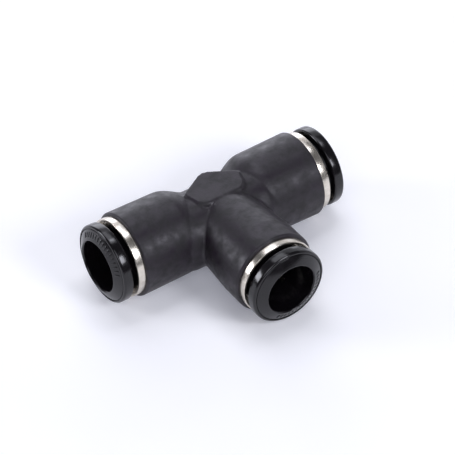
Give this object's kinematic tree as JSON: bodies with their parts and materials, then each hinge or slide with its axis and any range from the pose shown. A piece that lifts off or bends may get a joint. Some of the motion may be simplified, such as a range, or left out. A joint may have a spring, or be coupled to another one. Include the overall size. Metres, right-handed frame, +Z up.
{
  "type": "push-in union tee",
  "caption": "Black plastic push-in union tee for 12 mm tube, with a release sleeve, plated ring, claw and seal in each port.",
  "frame": {"origin": "on the surface the fitting lies on, under the middle of its whole outline; the three port axes cross 10.35 mm above it and 10.675 mm towards +Y", "axes": "+X along the run towards the right port, -Y along the branch outwards, +Z up, square to the plane of the three ports"},
  "size_m": [0.0634, 0.042, 0.0207],
  "materials": {
    "body_plastic": "satin moulded nylon, charcoal black",
    "sleeve_plastic": "polished moulded acetal, black",
    "plated_brass": "turned brass with bright nickel plating",
    "spring_steel": "stamped stainless spring steel",
    "acetal": "black moulded acetal",
    "nitrile": "black nitrile rubber"
  },
  "bodies": {
    "fitting": {"tee_body": "body_plastic", "retaining_ring_left": "plated_brass", "retaining_ring_right": "plated_brass", "retaining_ring_branch": "plated_brass", "lock_claw_left": "spring_steel", "lock_claw_right": "spring_steel", "lock_claw_branch": "spring_steel", "claw_seat_left": "acetal", "claw_seat_right": "acetal", "claw_seat_branch": "acetal", "backup_ring_left": "acetal", "backup_ring_right": "acetal", "backup_ring_branch": "acetal", "seal_ring_left": "nitrile", "seal_ring_right": "nitrile", "seal_ring_branch": "nitrile"},
    "left_sleeve": {"release_sleeve_left": "sleeve_plastic"},
    "right_sleeve": {"release_sleeve_right": "sleeve_plastic"},
    "branch_sleeve": {"release_sleeve_branch": "sleeve_plastic"}
  },
  "joints": [
    {"name": "left_sleeve_press", "type": "slide", "parent": "fitting", "child": "left_sleeve", "axis": [1, 0, 0], "range_m": [0, 0.0012], "stiffness_N_per_m": 200, "springref_m": -0.0005},
    {"name": "right_sleeve_press", "type": "slide", "parent": "fitting", "child": "right_sleeve", "axis": [-1, 0, 0], "range_m": [0, 0.0012], "stiffness_N_per_m": 200, "springref_m": -0.0005},
    {"name": "branch_sleeve_press", "type": "slide", "parent": "fitting", "child": "branch_sleeve", "axis": [0, 1, 0], "range_m": [0, 0.0012], "stiffness_N_per_m": 200, "springref_m": -0.0005}
  ]
}
